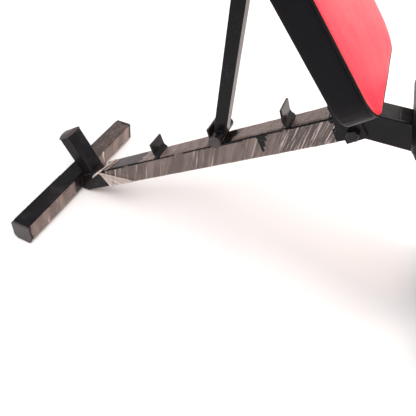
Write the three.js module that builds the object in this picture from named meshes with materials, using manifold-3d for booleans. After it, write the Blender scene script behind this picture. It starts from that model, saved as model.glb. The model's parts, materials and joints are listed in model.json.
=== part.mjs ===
// Adjustable weight bench. Millimetres, +Z up, +X from the rear foot towards the seat.
// While it is built, x = 0 is the middle of the rear foot and z = 0 the floor.
// At the end the whole bench moves along X, so the origin is the middle of its floor outline.

import * as THREE from 'three';
import { mergeVertices } from 'three/addons/utils/BufferGeometryUtils.js';
import Module from 'manifold-3d';

const wasm = await Module();
wasm.setup();

// ---- driving dimensions ---------------------------------------------------

const gap = 0.3;                 // left wherever two pieces meet
const smallGap = 0.25;           // a bolt in its hole, on the radius

const frameTube = 50;            // square tube of the main frame
const frameWall = 2;
const frameCorner = 4;

const rearFootLength = 500;      // over its caps
const frontFootLength = 420;
const capFlange = 5;             // thickness of a cap's flange
const capLip = 5;                // how far a foot's cap reaches below its tube
const plugDepth = 16;

const spineAngle = 34;           // degrees above level
const heelAhead = 24.5;          // spine's underside meets the foot's underside, ahead of the foot
const beamHeight = 396;          // underside of the level beam
const beamUnderSeat = 50;        // beam's front end, without its cap, back from the seat's

const postDepth = 38;            // stop post, along the spine
const postRear = 0.28;           // its rear face, along the spine, in tube sizes
const postHeight = 116;          // above the spine, without its cap
const postDome = 9;

const barDiameter = 25;          // round crossbar of the strut
const barLength = 84;
const seatClearance = 0.5;       // crossbar above the spine
const hookClearance = 1.5;       // crossbar to hook
const hookPlate = 4;
const hookReach = 21;            // straight part of a hook
const hookPitch = 155;
const hookBeforeHinge = 244;     // crossbar in the middle hook, along the spine
const hookStart = 232;           // degrees: foot of the hook's arc
const hookEnd = 170;             // degrees: end of the hook's arc

const hingeBeforeMitre = 7.2;    // hinge bolt, along the spine's underside
const hingeUp = 14;              // above the spine's underside
const boltDiameter = 12;
const headAcross = 19;           // hexagon, across flats
const headHeight = 7.5;
const nutHeight = 10;
const washerDiameter = 20;
const washerThickness = 2;
const bushDiameter = 16;

const incline = 48;              // degrees: backrest at rest, above level
const cheekThickness = 5;
const cheekClearance = 1;        // cheek to spine
const cheekWidth = 32;
const cheekBelow = 15;           // cheek below the hinge bolt
const cheekTop = 120;

const padBack = 32;              // back of the backrest board, in front of the hinge
const padStart = 57;             // lower end of the backrest, above the hinge
const padLength = 660;
const padWidth = 320;
const padCorner = 50;
const cushionThickness = 33;
const cushionRound = 8;
const boardThickness = 11;
const boardInset = 6;

const railTube = 25;
const railWall = 1.6;
const railCorner = 2.5;
const railStart = 45;
const railUnderPad = 57;         // rail's upper end, down from the pad's
const crossPlate = 4;
const crossPlateShare = 0.75;    // of the pad's width
const crossPlateWidth = 40;
const lowerPlateIn = 93;         // middle of the plate, in from the pad's end
const upperPlateIn = 137;
const screwFromPlateEnd = 25;
const screwDiameter = 8;
const screwHead = 14;
const screwHeadHeight = 4.5;
const screwIntoBoard = 7;

const strutWidth = 30;
const strutDepth = 26;
const strutWall = 2;
const strutCorner = 3;
const strutAbovePivot = 16;
const strutAboveBar = 8;
const pivotAlong = 342.4;        // strut pivot, along the backrest from the hinge
const pivotBehind = 12;          // and behind it
const lugRadius = 16;
const lugSpread = 46;            // lug where it joins the rail

const seatAhead = 68.6;          // rear end of the seat, ahead of the hinge
const seatLength = 318;
const rearPlateIn = 61;
const frontPlateIn = 97;

const legLean = 11;              // degrees from upright
const legFromEnd = 40;           // middle of the leg's top, back from the beam's end
const gussetSize = 80;
const gussetThickness = 5;

// ---- values that follow ----------------------------------------------------

const rad = THREE.MathUtils.degToRad;
const half = frameTube / 2;
const footBottom = capLip;
const beamTop = beamHeight + frameTube;
const spineHeel = half + heelAhead;
const postFront = postRear * frameTube + postDepth;

// A slanted frame: 'out' runs along a member, 'up' is square to it, both in the XZ plane.
function slanted(origin, outX, outZ, upX, upZ) {
  return {
    at: (a, b) => new THREE.Vector2(origin.x + a * outX + b * upX, origin.y + a * outZ + b * upZ),
    matrix: (a, y, b) => {
      const p = new THREE.Vector3(origin.x + a * outX + b * upX, y, origin.y + a * outZ + b * upZ);
      const out = new THREE.Vector3(outX, 0, outZ);
      const up = new THREE.Vector3(upX, 0, upZ);
      const side = new THREE.Vector3().crossVectors(up, out);
      return new THREE.Matrix4().makeBasis(out, side, up).setPosition(p);
    },
  };
}

const sC = Math.cos(rad(spineAngle));
const sS = Math.sin(rad(spineAngle));
const spine = slanted(new THREE.Vector2(spineHeel, footBottom), sC, sS, -sS, sC);
const hingeAlong = (beamHeight - footBottom) / sS - hingeBeforeMitre;
const hinge = spine.at(hingeAlong, hingeUp);

const seatRear = hinge.x + seatAhead;
const rearSeatPlate = seatRear + rearPlateIn;
const frontSeatPlate = seatRear + seatLength - frontPlateIn;
const beamEnd = seatRear + seatLength - beamUnderSeat;

const pC = Math.cos(rad(incline));
const pS = Math.sin(rad(incline));
const back = slanted(hinge, -pC, pS, pS, pC);   // out: up the backrest, up: towards its face
const pivot = back.at(pivotAlong, -pivotBehind);

const barRadius = barDiameter / 2;
const barHeight = frameTube + seatClearance + barRadius;
const middleHook = hingeAlong - hookBeforeHinge;
const bar = spine.at(middleHook, barHeight);
const strutLength = pivot.distanceTo(bar);
const tx = (pivot.x - bar.x) / strutLength;
const tz = (pivot.y - bar.y) / strutLength;
const strut = slanted(bar, tx, tz, -tz, tx);    // out: up the strut, up: towards the rear

const cheekInner = half + cheekClearance;
const cheekOuter = cheekInner + cheekThickness;
const railInner = cheekOuter + gap;
const railMiddle = railInner + railTube / 2;
const platesBack = padBack - gap - crossPlate;
const railFront = platesBack - gap;
const railEnd = padStart + padLength - railUnderPad;
const lowerCrossPlate = padStart + lowerPlateIn;
const upperCrossPlate = padStart + padLength - upperPlateIn;
const crossPlateLength = crossPlateShare * padWidth;
const screwSpread = crossPlateLength - 2 * screwFromPlateEnd;

// ---- helpers ---------------------------------------------------------------

function roundedRect(width, height, radius) {
  const s = new THREE.Shape();
  const w = width / 2;
  const h = height / 2;
  s.moveTo(-w + radius, -h);
  s.lineTo(w - radius, -h);
  s.absarc(w - radius, -h + radius, radius, -Math.PI / 2, 0, false);
  s.lineTo(w, h - radius);
  s.absarc(w - radius, h - radius, radius, 0, Math.PI / 2, false);
  s.lineTo(-w + radius, h);
  s.absarc(-w + radius, h - radius, radius, Math.PI / 2, Math.PI, false);
  s.lineTo(-w, -h + radius);
  s.absarc(-w + radius, -h + radius, radius, Math.PI, 1.5 * Math.PI, false);
  return s;
}

function extrude(shape, depth, options = {}) {
  return new THREE.ExtrudeGeometry(shape, { depth, bevelEnabled: false, curveSegments: 4, ...options });
}

// Solid or hollow bar along +X from 'from' to 'to'; width lies along Y, height along Z.
function barAlongX(from, to, width, height, corner, wall = 0) {
  const shape = roundedRect(width, height, corner);
  if (wall > 0) {
    shape.holes.push(roundedRect(width - 2 * wall, height - 2 * wall, Math.max(corner - wall, 0.6)));
  }
  const geometry = extrude(shape, to - from);
  // the shape's x goes to Y, its y to Z, and the extrusion to X
  geometry.applyMatrix4(new THREE.Matrix4().set(0, 0, 1, from, 1, 0, 0, 0, 0, 1, 0, 0, 0, 0, 0, 1));
  return geometry;
}

function barAlongY(from, to, width, height, corner, wall = 0) {
  const geometry = barAlongX(from, to, width, height, corner, wall);
  return geometry.applyMatrix4(new THREE.Matrix4().makeRotationZ(Math.PI / 2));
}

// A plate cut to an outline in the XZ plane, from y = from to y = to.
function plateXZ(points, from, to) {
  const geometry = extrude(new THREE.Shape(points), to - from, { curveSegments: 10 });
  return geometry.applyMatrix4(new THREE.Matrix4().set(1, 0, 0, 0, 0, 0, -1, to, 0, 1, 0, 0, 0, 0, 0, 1));
}

function rodAlongY(centre, radius, from, to, segments = 32) {
  const geometry = new THREE.CylinderGeometry(radius, radius, to - from, segments);
  return geometry.translate(centre.x, (from + to) / 2, centre.y);
}

function ringAlongY(centre, outer, inner, from, to) {
  const shape = new THREE.Shape().absarc(0, 0, outer, 0, 2 * Math.PI, false);
  shape.holes.push(new THREE.Path().absarc(0, 0, inner, 0, 2 * Math.PI, true));
  const geometry = extrude(shape, to - from, { curveSegments: 16 });
  return geometry.rotateX(Math.PI / 2).translate(centre.x, to, centre.y);
}

function toSolid(geometry) {
  const g = geometry.clone();
  g.deleteAttribute('normal');
  g.deleteAttribute('uv');
  const m = mergeVertices(g, 1e-4);
  const vertProperties = Float32Array.from(m.attributes.position.array);
  const triVerts = Uint32Array.from(m.index.array);
  return new wasm.Manifold(new wasm.Mesh({ numProp: 3, vertProperties, triVerts }));
}

function toGeometry(solid) {
  const mesh = solid.getMesh();
  const geometry = new THREE.BufferGeometry();
  geometry.setAttribute('position', new THREE.BufferAttribute(Float32Array.from(mesh.vertProperties), 3));
  geometry.setIndex(new THREE.BufferAttribute(Uint32Array.from(mesh.triVerts), 1));
  return geometry;
}

function cut(geometry, ...tools) {
  let solid = toSolid(geometry);
  for (const tool of tools) {
    solid = solid.subtract(toSolid(tool));
  }
  return toGeometry(solid);
}

function join(geometry, ...others) {
  let solid = toSolid(geometry);
  for (const other of others) {
    solid = solid.add(toSolid(other));
  }
  return toGeometry(solid);
}

// Everything beyond a slanted line through two points of the XZ plane, on its left.
function beyond(a, b, reach = 400) {
  const along = b.clone().sub(a).normalize();
  const left = new THREE.Vector2(-along.y, along.x);
  const low = a.clone().addScaledVector(along, -reach);
  const high = b.clone().addScaledVector(along, reach);
  const points = [low, high, high.clone().addScaledVector(left, reach), low.clone().addScaledVector(left, reach)];
  return plateXZ(points, -reach, reach);
}

function shifted(a, b, distance) {
  const along = b.clone().sub(a).normalize();
  const left = new THREE.Vector2(-along.y, along.x).multiplyScalar(distance);
  return [a.clone().add(left), b.clone().add(left)];
}

const paint = { color: 0x141314, roughness: 0.28, metalness: 0.1 };
const capPlastic = { color: 0x1c1b1c, roughness: 0.55, metalness: 0 };
const zinc = { color: 0xb9bcc0, roughness: 0.35, metalness: 0.9 };
const nylon = { color: 0x202124, roughness: 0.5, metalness: 0 };
const redVinyl = { color: 0xe8333f, roughness: 0.45, metalness: 0 };
const plywood = { color: 0xb58a5a, roughness: 0.8, metalness: 0 };

const group = new THREE.Group();
group.name = 'adjustable_weight_bench';

function add(name, geometry, finish) {
  const mesh = new THREE.Mesh(geometry, new THREE.MeshStandardMaterial(finish));
  mesh.name = name;
  group.add(mesh);
  return mesh;
}

function addPair(name, build, finish) {
  add(name + '_left', build(-1), finish);
  add(name + '_right', build(1), finish);
}

// y range of a piece that lies between two distances from the middle, on one side
function sideRange(side, inner, outer) {
  return side > 0 ? [inner, outer] : [-outer, -inner];
}

// ---- feet ------------------------------------------------------------------

function footTube(x, length) {
  const reach = length / 2 - capFlange - gap;
  const tube = barAlongY(-reach, reach, frameTube, frameTube, frameCorner, frameWall);
  return tube.translate(x, 0, footBottom + half);
}

// A cap with a plug inside the tube and a flange whose lip stands on the floor.
function footCap(x, length, side) {
  const end = length / 2;
  const plugSize = frameTube - 2 * frameWall - 2 * gap;
  const flangeY = sideRange(side, end - capFlange, end);
  const plugY = sideRange(side, end - capFlange - plugDepth, end - capFlange + 1);
  const plug = barAlongY(plugY[0], plugY[1], plugSize, plugSize, 2, 2.5);
  plug.translate(0, 0, footBottom + half);
  const top = footBottom + frameTube;
  const outline = [
    new THREE.Vector2(-half + 9, 0),
    new THREE.Vector2(half - 5, 0),
    new THREE.Vector2(half, 5),
    new THREE.Vector2(half, top - 3),
    new THREE.Vector2(half - 3, top),
    new THREE.Vector2(-half + 3, top),
    new THREE.Vector2(-half, top - 3),
    new THREE.Vector2(-half, 9),
  ];
  const flange = plateXZ(outline, flangeY[0], flangeY[1]);
  return join(flange, plug).translate(x, 0, 0);
}

add('rear_foot_tube', footTube(0, rearFootLength), paint);
addPair('rear_foot_cap', (side) => footCap(0, rearFootLength, side), capPlastic);

// ---- spine, beam and front leg ---------------------------------------------

// The mitre runs from where the undersides meet to where the top faces meet.
function meet(height, n) {
  const along = (height - footBottom - n * sC) / sS;
  return spine.at(along, n);
}
const mitreLow = meet(beamHeight, 0);
const mitreHigh = meet(beamTop, frameTube);

function slantedTube(place, from, to, y, b, width, height, corner, wall) {
  const tube = barAlongX(from, to, width, height, corner, wall);
  return tube.applyMatrix4(place.matrix(0, y, b));
}

{
  const long = slantedTube(spine, -120, hingeAlong + 150, 0, half, frameTube, frameTube, frameCorner, frameWall);
  const heel = plateXZ([
    new THREE.Vector2(-300, -300),
    new THREE.Vector2(400, -300),
    new THREE.Vector2(400, footBottom),
    new THREE.Vector2(half + gap, footBottom),
    new THREE.Vector2(half + gap, 300),
    new THREE.Vector2(-300, 300),
  ], -100, 100);
  const [a, b] = shifted(mitreHigh, mitreLow, gap / 2);
  const bolt = rodAlongY(hinge, boltDiameter / 2 + smallGap, -100, 100, 24);
  add('spine_tube', cut(long, heel, beyond(...shifted(a, b, -gap)), bolt), paint);
}

{
  const long = barAlongX(hinge.x - 100, beamEnd, frameTube, frameTube, frameCorner, frameWall);
  long.translate(0, 0, beamHeight + half);
  const inside = half - frameWall - gap;
  const clear = rodAlongY(hinge, bushDiameter / 2 + gap, -inside, inside, 24);
  add('seat_beam', cut(long, beyond(...shifted(mitreLow, mitreHigh, -gap / 2)), clear), paint);
}

{
  const size = frameTube - 2 * frameWall - 2 * gap;
  const plug = barAlongX(beamEnd + gap - plugDepth, beamEnd + gap + 1, size, size, 2, 2.5);
  const flange = barAlongX(beamEnd + gap, beamEnd + gap + capFlange, frameTube, frameTube, frameCorner);
  add('beam_end_cap', join(flange, plug).translate(0, 0, beamHeight + half), capPlastic);
}

const lC = Math.cos(rad(legLean));
const lS = Math.sin(rad(legLean));
const legTop = new THREE.Vector2(beamEnd - legFromEnd, beamHeight);
const leg = slanted(legTop, lS, -lC, lC, lS);   // out: down the leg, up: towards the front
const footTop = footBottom + frameTube;
const frontFootX = legTop.x + (beamHeight - footTop) * Math.tan(rad(legLean));

{
  const long = slantedTube(leg, -80, beamHeight + 80, 0, 0, frameTube, frameTube, frameCorner, frameWall);
  const over = barAlongX(legTop.x - 300, legTop.x + 300, 200, 400, 1).translate(0, 0, beamHeight - gap + 200);
  const under = barAlongX(legTop.x - 300, legTop.x + 300, 200, 400, 1).translate(0, 0, footTop + gap - 200);
  add('front_leg', cut(long, over, under), paint);
}

{
  const top = beamHeight - gap;
  const face = (z) => leg.at((beamHeight - z) / lC, 0).x - (half + gap) / lC;
  const low = top - gussetSize;
  add('leg_gusset', plateXZ([
    new THREE.Vector2(face(top), top),
    new THREE.Vector2(face(top) - gussetSize, top),
    new THREE.Vector2(face(top) - gussetSize, top - 8),
    new THREE.Vector2(face(low) - 8, low),
    new THREE.Vector2(face(low), low),
  ], -gussetThickness / 2, gussetThickness / 2), paint);
}

add('front_foot_tube', footTube(frontFootX, frontFootLength), paint);
addPair('front_foot_cap', (side) => footCap(frontFootX, frontFootLength, side), capPlastic);

// ---- stop post -------------------------------------------------------------

const postMiddle = postFront - postDepth / 2;
const post = slanted(spine.at(postMiddle, frameTube), -sS, sC, -sC, -sS);
{
  const tube = slantedTube(post, gap, postHeight, 0, 0, frameTube, postDepth, frameCorner, frameWall);
  add('stop_post', tube, paint);
  const inWidth = frameTube - 2 * frameWall - 2 * gap;
  const inDepth = postDepth - 2 * frameWall - 2 * gap;
  const plug = barAlongX(postHeight + gap - plugDepth, postHeight + gap + 1, inWidth, inDepth, 2, 2.5);
  const rise = new THREE.Shape();
  rise.moveTo(-half, 0);
  rise.lineTo(half, 0);
  rise.lineTo(half, 2.5);
  rise.quadraticCurveTo(half * 0.62, postDome, 0, postDome);
  rise.quadraticCurveTo(-half * 0.62, postDome, -half, 2.5);
  const dome = extrude(rise, postDepth, { curveSegments: 8 });
  // the outline's x goes to Y, its y up the post
  dome.applyMatrix4(new THREE.Matrix4().set(0, 1, 0, postHeight + gap, 1, 0, 0, 0, 0, 0, 1, -postDepth / 2, 0, 0, 0, 1));
  add('stop_post_cap', join(flip(dome), plug).applyMatrix4(post.matrix(0, 0, 0)), capPlastic);
}

// Turns the faces of a mirrored piece the right way out again.
function flip(geometry) {
  const p = geometry.attributes.position;
  const out = new Float32Array(p.array);
  for (let i = 0; i < out.length; i += 9) {
    for (let k = 0; k < 3; k += 1) {
      const keep = out[i + k];
      out[i + k] = out[i + 3 + k];
      out[i + 3 + k] = keep;
    }
  }
  const g = new THREE.BufferGeometry();
  g.setAttribute('position', new THREE.BufferAttribute(out, 3));
  g.setAttribute('normal', new THREE.BufferAttribute(new Float32Array(out.length), 3));
  g.setAttribute('uv', new THREE.BufferAttribute(new Float32Array((out.length / 3) * 2), 2));
  return g;
}

// ---- hooks -----------------------------------------------------------------

function hook(along) {
  const inner = barRadius + hookClearance;
  const outer = inner + hookPlate;
  const steps = 9;
  const inside = [];
  const outside = [];
  for (let i = 0; i <= steps; i += 1) {
    const a = rad(hookStart + ((hookEnd - hookStart) * i) / steps);
    inside.push([Math.cos(a) * inner, Math.sin(a) * inner]);
    outside.push([Math.cos(a) * outer, Math.sin(a) * outer]);
  }
  const end = rad(hookEnd);
  const dx = Math.sin(end) * hookReach;
  const dy = -Math.cos(end) * hookReach;
  inside.push([Math.cos(end) * inner + dx, Math.sin(end) * inner + dy]);
  outside.push([Math.cos(end) * outer + dx, Math.sin(end) * outer + dy]);
  const points = [...inside, ...outside.reverse()].map(([u, n]) => spine.at(along + u, barHeight + n));
  const plate = plateXZ(points, -half, half);
  const lowered = slantedTube(spine, along - 100, along + 100, 0, frameTube + gap - 30, 120, 60, 1, 0);
  return cut(plate, lowered);
}

add('hook_rear', hook(middleHook - hookPitch), paint);
add('hook_middle', hook(middleHook), paint);
add('hook_front', hook(middleHook + hookPitch), paint);

// ---- bolts -----------------------------------------------------------------

// A hexagon bolt along Y: head at -Y, thread end at +Y.
function bolt(centre, headFace, end) {
  const radius = boltDiameter / 2;
  const head = new THREE.CylinderGeometry(headAcross / Math.sqrt(3), headAcross / Math.sqrt(3), headHeight, 6);
  head.translate(centre.x, headFace - headHeight / 2, centre.y);
  const shank = rodAlongY(centre, radius, headFace - 1, end, 24);
  return join(head, shank);
}

function nut(centre, from) {
  const body = new THREE.CylinderGeometry(headAcross / Math.sqrt(3), headAcross / Math.sqrt(3), nutHeight, 6);
  body.translate(centre.x, from + nutHeight / 2, centre.y);
  return cut(body, rodAlongY(centre, boltDiameter / 2 + smallGap, from - 5, from + nutHeight + 5, 24));
}

function boltSet(name, centre, outerFace) {
  const washerInner = boltDiameter / 2 + smallGap;
  const near = outerFace + gap;
  const far = near + washerThickness;
  const ring = (a, b) => ringAlongY(centre, washerDiameter / 2, washerInner, a, b);
  add(name + '_bolt', bolt(centre, -far - gap, far + gap + nutHeight + 4), zinc);
  add(name + '_nut', nut(centre, far + gap), zinc);
  add(name + '_washer_left', ring(-far, -near), zinc);
  add(name + '_washer_right', ring(near, far), zinc);
}

boltSet('hinge', hinge, cheekOuter);
const bushReach = half - frameWall - gap;
add('hinge_bush', ringAlongY(hinge, bushDiameter / 2, boltDiameter / 2 + smallGap, -bushReach, bushReach), nylon);

boltSet('strut_pivot', pivot, cheekOuter);
const sleeveReach = cheekInner - gap;
const sleeve = ringAlongY(pivot, bushDiameter / 2, boltDiameter / 2 + smallGap, -sleeveReach, sleeveReach);
add('strut_sleeve', sleeve, nylon);

// ---- backrest frame --------------------------------------------------------

const boltHole = (centre) => rodAlongY(centre, boltDiameter / 2 + smallGap, -200, 200, 24);

addPair('hinge_cheek', (side) => {
  const w = cheekWidth / 2;
  const shelf = railFront - 1;
  const outline = [
    [-cheekBelow, -w], [-cheekBelow, w + 2], [12, w + 2], [railStart - 5, shelf],
    [cheekTop, shelf], [cheekTop, shelf - railTube + 6], [railStart + 15, -w], 
  ].map(([u, d]) => back.at(u, d));
  const [from, to] = sideRange(side, cheekInner, cheekOuter);
  return cut(plateXZ(outline.reverse(), from, to), boltHole(hinge));
}, paint);

addPair('backrest_rail', (side) => {
  const y = side * railMiddle;
  const middle = railFront - railTube / 2;
  return slantedTube(back, railStart, railEnd, y, middle, railTube, railTube, railCorner, railWall);
}, paint);

function railCap(side, at, inward) {
  const size = railTube - 2 * railWall - 2 * gap;
  const middle = railFront - railTube / 2;
  const outer = at - inward * gap;
  const flange = [outer, outer - inward * 3].sort((a, b) => a - b);
  const plug = [outer - inward * 1, outer + inward * 12].sort((a, b) => a - b);
  const cap = join(
    barAlongX(flange[0], flange[1], railTube, railTube, railCorner),
    barAlongX(plug[0], plug[1], size, size, 1.5, 2),
  );
  return cap.applyMatrix4(back.matrix(0, side * railMiddle, middle));
}
addPair('rail_lower_cap', (side) => railCap(side, railStart, 1), capPlastic);
addPair('rail_upper_cap', (side) => railCap(side, railEnd, -1), capPlastic);

addPair('strut_lug', (side) => {
  const points = [];
  const steps = 10;
  for (let i = 0; i <= steps; i += 1) {
    const a = Math.PI + (Math.PI * i) / steps;
    points.push([pivotAlong + Math.cos(a) * lugRadius, -pivotBehind + Math.sin(a) * lugRadius]);
  }
  points.push([pivotAlong + lugSpread / 2, railFront - railTube + 8]);
  points.push([pivotAlong + lugSpread / 2, railFront - 3]);
  points.push([pivotAlong - lugSpread / 2, railFront - 3]);
  points.push([pivotAlong - lugSpread / 2, railFront - railTube + 8]);
  const [from, to] = sideRange(side, cheekInner, cheekOuter);
  return cut(plateXZ(points.map(([u, d]) => back.at(u, d)).reverse(), from, to), boltHole(pivot));
}, paint);

// A screw along +Z from the head at the origin.
function screw(length) {
  const radius = screwDiameter / 2;
  const profile = [
    new THREE.Vector2(0, -screwHeadHeight),
    new THREE.Vector2(screwHead / 2 - 2, -screwHeadHeight),
    new THREE.Vector2(screwHead / 2, -screwHeadHeight + 2),
    new THREE.Vector2(screwHead / 2, 0),
    new THREE.Vector2(radius, 0),
    new THREE.Vector2(radius, length),
    new THREE.Vector2(0, length),
  ];
  return new THREE.LatheGeometry(profile, 20).rotateX(Math.PI / 2);
}

const screwHole = screwDiameter / 2 + smallGap;
const screwLength = gap + crossPlate + gap + screwIntoBoard;

function hole(y) {
  return new THREE.CylinderGeometry(screwHole, screwHole, 60, 20).rotateX(Math.PI / 2).translate(0, y, 0);
}

// Board, cushion, two plates and four screws. Each plate is placed by its underside's middle.
function pad(name, plateNames, platePlaces, padPlace, length) {
  const boardLift = crossPlate + gap;
  platePlaces.forEach((place, i) => {
    const plate = barAlongY(-crossPlateLength / 2, crossPlateLength / 2, crossPlateWidth, crossPlate, 1);
    plate.translate(0, 0, crossPlate / 2);
    const y = screwSpread / 2;
    add(`${name}_${plateNames[i]}_plate`, cut(plate, hole(y), hole(-y)).applyMatrix4(place), paint);
    for (const side of [-1, 1]) {
      const one = screw(screwLength).translate(0, side * y, -gap).applyMatrix4(place);
      const label = one.attributes.position.getY(0) < 0 ? 'left' : 'right';
      add(`${name}_${plateNames[i]}_screw_${label}`, one, zinc);
    }
  });

  const outline = roundedRect(length, padWidth, padCorner);
  const boardOutline = roundedRect(length - 2 * boardInset, padWidth - 2 * boardInset, padCorner - boardInset);
  const board = extrude(boardOutline, boardThickness, { curveSegments: 8 }).applyMatrix4(padPlace);
  const tools = [];
  for (const place of platePlaces) {
    for (const side of [-1, 1]) {
      const blind = new THREE.CylinderGeometry(screwHole, screwHole, 40, 20).rotateX(Math.PI / 2);
      blind.translate(0, side * screwSpread / 2, boardLift + screwIntoBoard + gap - 20);
      tools.push(blind.applyMatrix4(place));
    }
  }
  add(`${name}_board`, cut(board, ...tools), plywood);

  const inner = roundedRect(length - 2 * cushionRound, padWidth - 2 * cushionRound, padCorner - cushionRound);
  const cushion = extrude(inner, cushionThickness - cushionRound, {
    bevelEnabled: true,
    bevelSize: cushionRound,
    bevelThickness: cushionRound,
    bevelSegments: 3,
    curveSegments: 8,
  });
  const flat = barAlongX(-length, length, 2 * padWidth, 100, 1).translate(0, 0, -50);
  const lift = boardThickness + gap;
  const whole = cut(cushion, flat).translate(0, 0, lift);
  add(`${name}_cushion`, whole.applyMatrix4(padPlace), redVinyl);
}

pad(
  'backrest',
  ['lower', 'upper'],
  [lowerCrossPlate, upperCrossPlate].map((u) => backPlace(u, platesBack)),
  backPlace(padStart + padLength / 2, padBack),
  padLength,
);

// Pad frame on the backrest: x up the backrest, z towards its face.
function backPlace(u, d) {
  return back.matrix(u, 0, d);
}

const seatPlates = beamTop + gap;
pad(
  'seat',
  ['rear', 'front'],
  [rearSeatPlate, frontSeatPlate].map((x) => new THREE.Matrix4().makeTranslation(x, 0, seatPlates)),
  new THREE.Matrix4().makeTranslation(seatRear + seatLength / 2, 0, seatPlates + crossPlate + gap),
  seatLength,
);

// ---- strut -----------------------------------------------------------------

{
  const end = strutLength + strutAbovePivot;
  const tube = slantedTube(strut, strutAboveBar, end, 0, 0, strutWidth, strutDepth, strutCorner, strutWall);
  const saddle = rodAlongY(bar, barRadius + gap, -60, 60, 40);
  const sleeveHole = rodAlongY(pivot, bushDiameter / 2 + smallGap, -60, 60, 24);
  add('strut_tube', cut(tube, saddle, sleeveHole), paint);
  const plugReach = 3;
  const reach = barLength / 2 - plugReach - gap;
  add('strut_crossbar', ringAlongY(bar, barRadius, barRadius - 2, -reach, reach), paint);
  addPair('crossbar_plug', (side) => {
    const [a, b] = sideRange(side, barLength / 2 - plugReach, barLength / 2);
    const [c, d] = sideRange(side, barLength / 2 - plugReach - 10, barLength / 2 - 1);
    return join(rodAlongY(bar, barRadius, a, b, 40), rodAlongY(bar, barRadius - 2 - gap, c, d, 32));
  }, capPlastic);
}

// ---- origin ----------------------------------------------------------------

const box = new THREE.Box3().setFromObject(group);
const middleX = (box.min.x + box.max.x) / 2;
for (const mesh of group.children) {
  mesh.geometry.translate(-middleX, 0, 0);
}

export default group;
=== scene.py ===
# %% [markdown]
# # A weight bench with a reclining back
# The steel frame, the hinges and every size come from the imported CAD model. This script adds what
# steel and plastic shapes alone cannot show: the vinyl cushions with their piping and staples,
# the weld beads, the torn stretch film on the spine and the rear foot, and the finish of each
# surface. Lengths are in metres, and the frame of the CAD model is the frame of the scene.

# %% Load the frame
import json
import math

import bmesh
import bpy
import numpy as np
from mathutils import Matrix, Vector, noise

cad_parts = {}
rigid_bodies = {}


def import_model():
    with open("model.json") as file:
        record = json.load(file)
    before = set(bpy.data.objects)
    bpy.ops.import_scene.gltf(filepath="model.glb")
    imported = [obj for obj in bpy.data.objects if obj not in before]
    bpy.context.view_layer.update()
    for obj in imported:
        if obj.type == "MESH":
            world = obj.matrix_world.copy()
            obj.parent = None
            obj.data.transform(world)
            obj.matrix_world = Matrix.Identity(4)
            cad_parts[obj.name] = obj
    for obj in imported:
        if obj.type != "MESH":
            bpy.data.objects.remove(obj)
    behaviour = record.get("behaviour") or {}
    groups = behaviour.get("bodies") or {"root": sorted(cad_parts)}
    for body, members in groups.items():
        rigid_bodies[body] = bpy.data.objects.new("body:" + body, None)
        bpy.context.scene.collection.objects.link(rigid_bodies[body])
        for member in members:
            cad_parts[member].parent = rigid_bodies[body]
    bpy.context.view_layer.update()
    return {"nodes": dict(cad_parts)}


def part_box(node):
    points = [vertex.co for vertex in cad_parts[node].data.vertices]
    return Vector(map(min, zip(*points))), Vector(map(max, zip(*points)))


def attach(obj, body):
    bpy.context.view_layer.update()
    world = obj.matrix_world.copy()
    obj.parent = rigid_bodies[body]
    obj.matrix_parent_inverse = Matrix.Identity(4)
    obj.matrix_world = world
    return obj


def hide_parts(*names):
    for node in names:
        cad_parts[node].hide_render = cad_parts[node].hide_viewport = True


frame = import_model()

# %% [markdown]
# ## The viewpoint
# The bench is seen from above and a little from the right of its rear end. The bench fills only
# the upper left part of the view, so the lens is shifted sideways instead of turning the camera,
# which would change how the tubes converge.

# %% Camera
bpy.ops.object.select_all(action="DESELECT")
bpy.ops.object.camera_add(
    location=(0.0723, -0.6723, 0.7909),
    rotation=[math.radians(a) for a in (47.384, -1.365, 27.266)],
)
camera = bpy.context.object
camera.data.sensor_width = 36
camera.data.lens = 34.494
camera.data.shift_x = 0.1366
camera.data.shift_y = -0.0676
camera.data.clip_start = 0.01
bpy.context.scene.camera = camera
print("lens", camera.data.lens)

# %% [markdown]
# ## Working by hand, in code
# Each piece starts as a primitive and is shaped in edit mode. An operator acts on whatever is
# selected, so these few helpers clear the selection, step into edit mode, and pick faces, edges
# or points by where they are and which way they face.

# %% Selecting
def only(piece):
    """Leaves edit mode and makes piece the one selected, active object."""
    if bpy.context.object and bpy.context.object.mode != "OBJECT":
        bpy.ops.object.mode_set(mode="OBJECT")
    bpy.ops.object.select_all(action="DESELECT")
    if piece:
        piece.select_set(True)
        bpy.context.view_layer.objects.active = piece
    return piece


def edit(piece):
    only(piece)
    bpy.ops.object.mode_set(mode="EDIT")
    bpy.ops.mesh.select_mode(type="FACE")
    bpy.ops.mesh.select_all(action="SELECT")


def pick(piece, kind, test):
    """In edit mode, selects the faces or edges for which test(middle, direction) holds."""
    bpy.ops.mesh.select_mode(type=kind)
    bpy.ops.mesh.select_all(action="DESELECT")
    shape = bmesh.from_edit_mesh(piece.data)
    if kind == "FACE":
        chosen = [f for f in shape.faces if test(f.calc_center_median(), f.normal)]
    else:
        ends = lambda e: (e.verts[0].co, e.verts[1].co)
        chosen = [e for e in shape.edges
                  if test(sum(ends(e), Vector()) / 2, (ends(e)[1] - ends(e)[0]).normalized())]
    for item in chosen:
        item.select_set(True)
    shape.select_flush_mode()
    bmesh.update_edit_mesh(piece.data)


def started(name):
    """Names the primitive that was just added, and applies its place and size to its mesh."""
    piece = bpy.context.object
    piece.name = piece.data.name = name
    bpy.ops.object.transform_apply(location=True, rotation=True, scale=True)
    return piece


def block(name, size, middle=(0, 0, 0)):
    only(None)
    bpy.ops.mesh.primitive_cube_add(size=1, location=middle)
    bpy.context.object.scale = size
    return started(name)


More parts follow.
